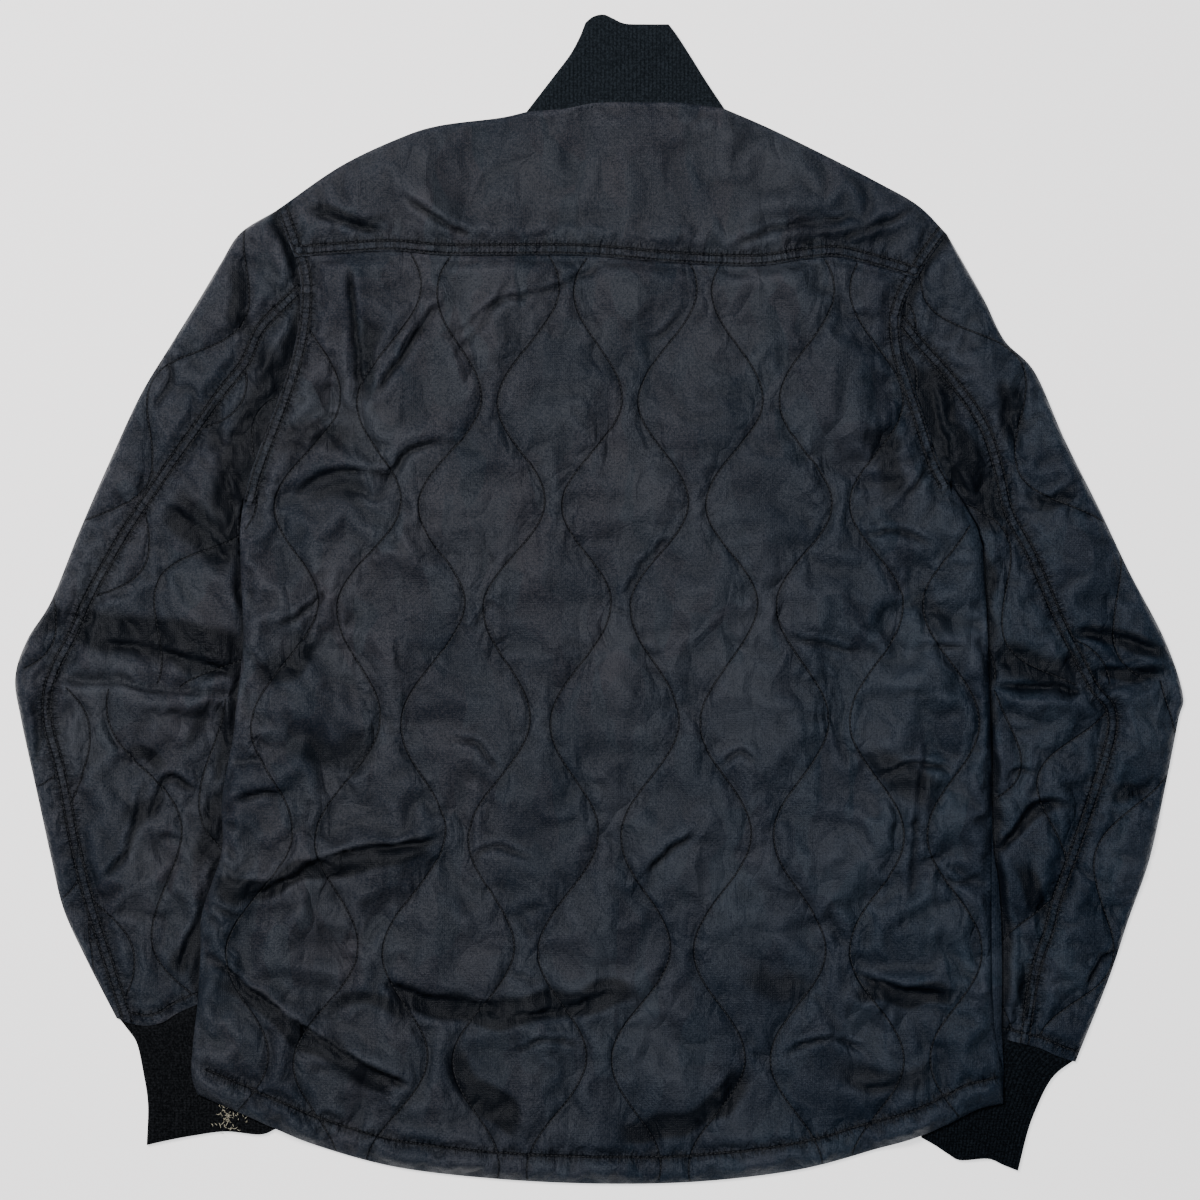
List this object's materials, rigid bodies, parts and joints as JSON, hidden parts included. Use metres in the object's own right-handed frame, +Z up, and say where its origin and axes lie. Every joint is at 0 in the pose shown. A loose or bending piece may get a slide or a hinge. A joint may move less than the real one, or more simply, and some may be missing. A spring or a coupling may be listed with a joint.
{
  "type": "quilted liner jacket",
  "caption": "Quilted nylon liner jacket laid flat with its back up: ribbed stand collar, plain yoke, ribbed cuffs, curved hem, sleeves bent with both forearms tucked under the body.",
  "frame": {"origin": "centre of the laid-out jacket's bounding box, on the table", "axes": "+Y from the hem to the collar, +Z up from the table, -X towards the wearer's left sleeve"},
  "size_m": [0.7718, 0.7726, 0.0179],
  "materials": {
    "nylon": "charcoal quilted nylon taffeta with a soft sheen",
    "rib_knit": "near-black rib knit, matt"
  },
  "bodies": {
    "root": {"back_body": "nylon", "back_yoke": "nylon", "front_left": "nylon", "front_right": "nylon", "sleeve_outer_left": "nylon", "sleeve_outer_right": "nylon", "sleeve_inner_left": "nylon", "sleeve_inner_right": "nylon", "cuff_left": "rib_knit", "cuff_right": "rib_knit", "collar": "rib_knit"}
  },
  "joints": []
}
